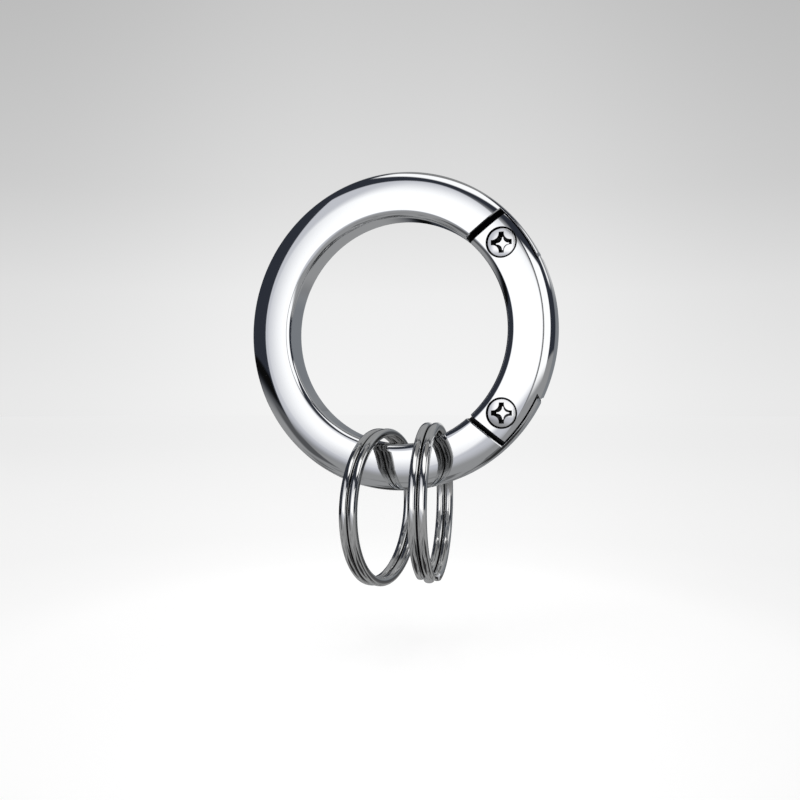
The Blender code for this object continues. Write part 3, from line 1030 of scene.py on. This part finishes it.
def patchMask(tree, patch, bearing, height):
    leftEdge, lowEdge, topEdge = bearing, height, height
    if "leftBend" in patch:
        below, above = patch["leftBend"]
        middle = tentLook["bendMiddle"]
        fallen = squareAbove(tree, calc(tree, "MULTIPLY", height, -1.0), -middle)
        leftEdge = calc(tree, "MULTIPLY_ADD", squareAbove(tree, height, middle), above, leftEdge)
        leftEdge = calc(tree, "MULTIPLY_ADD", fallen, below, leftEdge)
    if "topBend" in patch:
        rightward = squareAbove(tree, bearing, tentLook["topBendFrom"])
        topEdge = calc(tree, "MULTIPLY_ADD", rightward, patch["topBend"], height)
    if "lowTilt" in patch:
        tilted = calc(tree, "MINIMUM", bearing, tentLook["tiltTo"])
        run = calc(tree, "SUBTRACT", tilted, tentLook["tiltFrom"])
        lowEdge = calc(tree, "MULTIPLY_ADD", run, patch["lowTilt"], height)
    west, east, low, high = patch["soft"]
    across = windowMask(tree, leftEdge, bearing, *patch["bearing"], west, east)
    upright = windowMask(tree, lowEdge, topEdge, *patch["height"], low, high)
    return calc(tree, "MULTIPLY", across, upright)


def bearingAndHeight(tree, direction):
    unit = addNode(tree, "ShaderNodeVectorMath", operation="NORMALIZE")
    tree.links.new(direction, unit.inputs[0])
    right, back, up = axes(tree, unit.outputs[0])
    toFront = calc(tree, "MULTIPLY", back, -1.0)
    bearing = calc(tree, "DEGREES", calc(tree, "ARCTAN2", right, toFront))
    return bearing, calc(tree, "DEGREES", calc(tree, "ARCSINE", up))


def bareMaterial(name):
    material = bpy.data.materials.new(name)
    material.use_nodes = True
    material.node_tree.nodes.clear()
    return material, material.node_tree


def showSurface(tree, surface):
    output = addNode(tree, "ShaderNodeOutputMaterial")
    tree.links.new(surface, output.inputs["Surface"])


def makeTent():
    material, tree = bareMaterial("tentLight")
    place = addNode(tree, "ShaderNodeTexCoord").outputs["Object"]
    bearing, height = bearingAndHeight(tree, place)
    colour = tentLook["wall"]
    for patch in tentPatches:
        mask = patchMask(tree, patch, bearing, height)
        colour = colourMix(tree, colour, patch["tone"], mask, patch["name"])
    clutter = addNoise(tree, place, Scale=tentLook["clutterScale"], Detail=2.0)
    spots = remap(tree, clutter, *tentLook["clutterSpread"], 0.0, tentLook["clutterDepth"])
    lowDown = remap(tree, height, *tentLook["clutterHeights"], 1.0, 0.0)
    cover = calc(tree, "MULTIPLY", spots, lowDown)
    glow = addNode(tree, "ShaderNodeEmission")
    tree.links.new(colourMix(tree, colour, tentLook["clutter"], cover, "clutter"), glow.inputs["Color"])
    showSurface(tree, glow.outputs[0])
    bm = bmesh.new()
    bmesh.ops.create_icosphere(bm, subdivisions=tentLook["subdivisions"], radius=tentLook["radius"])
    tent = addObject("lightTent", meshFrom(bm, "lightTent", (material,)))
    for rays in ("camera", "diffuse", "shadow", "transmission"):
        setattr(tent, "visible_" + rays, False)


# Floor and backdrop

floorLook = dict(
    level=-51.0,
    radius=3000.0,
    segments=96,
    # Painted light: the floor's own glow is full white near the object, dims to its lowest between 120 and
    # 230 mm out and brightens again far off, standing in for the lamps' light on the paper; it is also
    # painted brightest along a line from the camera past the object.
    ramp=[(0.0, 1.0), (60.0, 1.0), (80.0, 0.94), (120.0, 0.90), (230.0, 0.90),
          (700.0, 0.945), (900.0, 0.96), (1300.0, 0.973), (2100.0, 0.983), (3000.0, 0.983)],
    ownGlow=0.70,
    albedo=0.42,
    axisFrom=(40.6, -122.6),     # the paper is brightest along a line from here past the object
    sideFall=0.105,
)
backdropLook = dict(
    ramp=[(-90.0, 0.905), (0.7, 0.905), (7.7, 0.862), (14.6, 0.735), (20.0, 0.67),
          (27.0, 0.59), (90.0, 0.48)],
    axisBearing=18.0,            # the backdrop is brightest along this line past the object
    axisSpread=(4.0, 30.0),      # it falls off between these angles to either side
    sideFall=(0.11, 0.19),       # loss of light to the sides, at the horizon and high up
    fallHeights=(0.0, 14.0),
)


def toneRamp(tree, value, stops):
    low, high = stops[0][0], stops[-1][0]
    node = addNode(tree, "ShaderNodeValToRGB")
    ramp = node.color_ramp
    for k, (at, tone) in enumerate(stops):
        share = (at - low) / (high - low)
        stop = ramp.elements[k] if k < 2 else ramp.elements.new(share)
        stop.position = share
        stop.color = (tone, tone, tone, 1.0)
    tree.links.new(remap(tree, value, low, high, 0.0, 1.0), node.inputs["Fac"])
    return node.outputs["Color"]


def offAxis(tree, bearing):
    # 0 on the line past the object, 1 well to either side of it
    middle = 180.0 + backdropLook["axisBearing"]
    turned = calc(tree, "WRAP", calc(tree, "SUBTRACT", bearing, middle), 180.0, -180.0)
    off = calc(tree, "ABSOLUTE", turned)
    return remap(tree, off, *backdropLook["axisSpread"], 0.0, 1.0, "SMOOTHSTEP")


def makeFloor():
    material, tree = bareMaterial("floorPaper")
    place = addNode(tree, "ShaderNodeTexCoord").outputs["Object"]
    distance = addNode(tree, "ShaderNodeVectorMath", operation="LENGTH")
    tree.links.new(place, distance.inputs[0])
    # Distances are squeezed by a root so that the near stops keep their detail.
    squeezed = calc(tree, "SQRT", calc(tree, "MULTIPLY", distance.outputs["Value"], 1 / mm))
    tone = toneRamp(tree, squeezed, [(math.sqrt(at), value) for at, value in floorLook["ramp"]])
    fromAxis = addMapping(tree, place, Location=(*[-v * mm for v in floorLook["axisFrom"]], 0.0))
    bearing = bearingAndHeight(tree, fromAxis)[0]
    lost = calc(tree, "MULTIPLY", offAxis(tree, bearing), -floorLook["sideFall"])
    left = calc(tree, "MULTIPLY_ADD", lost, floorLook["ownGlow"], floorLook["ownGlow"])
    glow = addNode(tree, "ShaderNodeEmission")
    tree.links.new(tone, glow.inputs["Color"])
    tree.links.new(left, glow.inputs["Strength"])
    paper = fill(addNode(tree, "ShaderNodeBsdfDiffuse"), Color=(*grey(floorLook["albedo"]), 1.0))
    both = addNode(tree, "ShaderNodeAddShader")
    tree.links.new(glow.outputs[0], both.inputs[0])
    tree.links.new(paper.outputs[0], both.inputs[1])
    showSurface(tree, both.outputs[0])
    bm = bmesh.new()
    size = dict(segments=floorLook["segments"], radius=floorLook["radius"] * mm)
    bmesh.ops.create_circle(bm, cap_ends=True, **size)
    floor = addObject("studioFloor", meshFrom(bm, "studioFloor", (material,)))
    floor.location.z = floorLook["level"] * mm
    floor.visible_glossy = False


def makeBackdrop():
    world = bpy.data.worlds.new("backdrop")
    bpy.context.scene.world = world
    world.use_nodes = True
    tree = world.node_tree
    ground = tree.nodes["Background"]
    bearing, height = bearingAndHeight(tree, addNode(tree, "ShaderNodeTexCoord").outputs["Generated"])
    tone = toneRamp(tree, height, backdropLook["ramp"])
    fall = remap(tree, height, *backdropLook["fallHeights"], *backdropLook["sideFall"])
    side = calc(tree, "SUBTRACT", 1.0, calc(tree, "MULTIPLY", fall, offAxis(tree, bearing)))
    shade = addNode(tree, "ShaderNodeVectorMath", operation="SCALE")
    tree.links.new(tone, shade.inputs[0])
    tree.links.new(side, shade.inputs["Scale"])
    tree.links.new(shade.outputs[0], ground.inputs["Color"])


studioLamps = [                  # places and sizes in metres, power in watts
    dict(name="overhead", place=(0.05, -0.1, 0.55), size=0.5, power=1.1),
    dict(name="frontLeft", place=(-0.35, -0.4, 0.3), size=0.4, power=0.8),
]


def makeLamps():
    for lamp in studioLamps:
        data = bpy.data.lights.new(lamp["name"], "AREA")
        data.size = lamp["size"]
        data.energy = lamp["power"]
        light = addObject(lamp["name"], data)
        light.location = lamp["place"]
        light.rotation_euler = (-Vector(lamp["place"])).to_track_quat("-Z", "Y").to_euler()
        light.visible_glossy = False
        light.visible_camera = False


cameraLook = dict(
    place=(40.56, -122.61, -11.74),
    turn=18.21,
    tilt=0.365,
    focal=803.0,                 # in pixels
    frameWidth=800.0,            # in pixels
    sensor=36.0,
    clip=(0.005, 50.0),          # in metres
)


def makeCamera():
    data = bpy.data.cameras.new("photoCamera")
    data.sensor_width = cameraLook["sensor"]
    data.lens = cameraLook["focal"] / cameraLook["frameWidth"] * cameraLook["sensor"]
    data.clip_start, data.clip_end = cameraLook["clip"]
    camera = addObject("photoCamera", data)
    camera.location = Vector(cameraLook["place"]) * mm
    camera.rotation_euler = (math.radians(90.0 + cameraLook["tilt"]), 0.0, math.radians(cameraLook["turn"]))
    bpy.context.scene.camera = camera


makeTent()
makeFloor()
makeBackdrop()
makeLamps()
makeCamera()
bpy.context.scene.view_settings.view_transform = "Standard"
print("studio set")
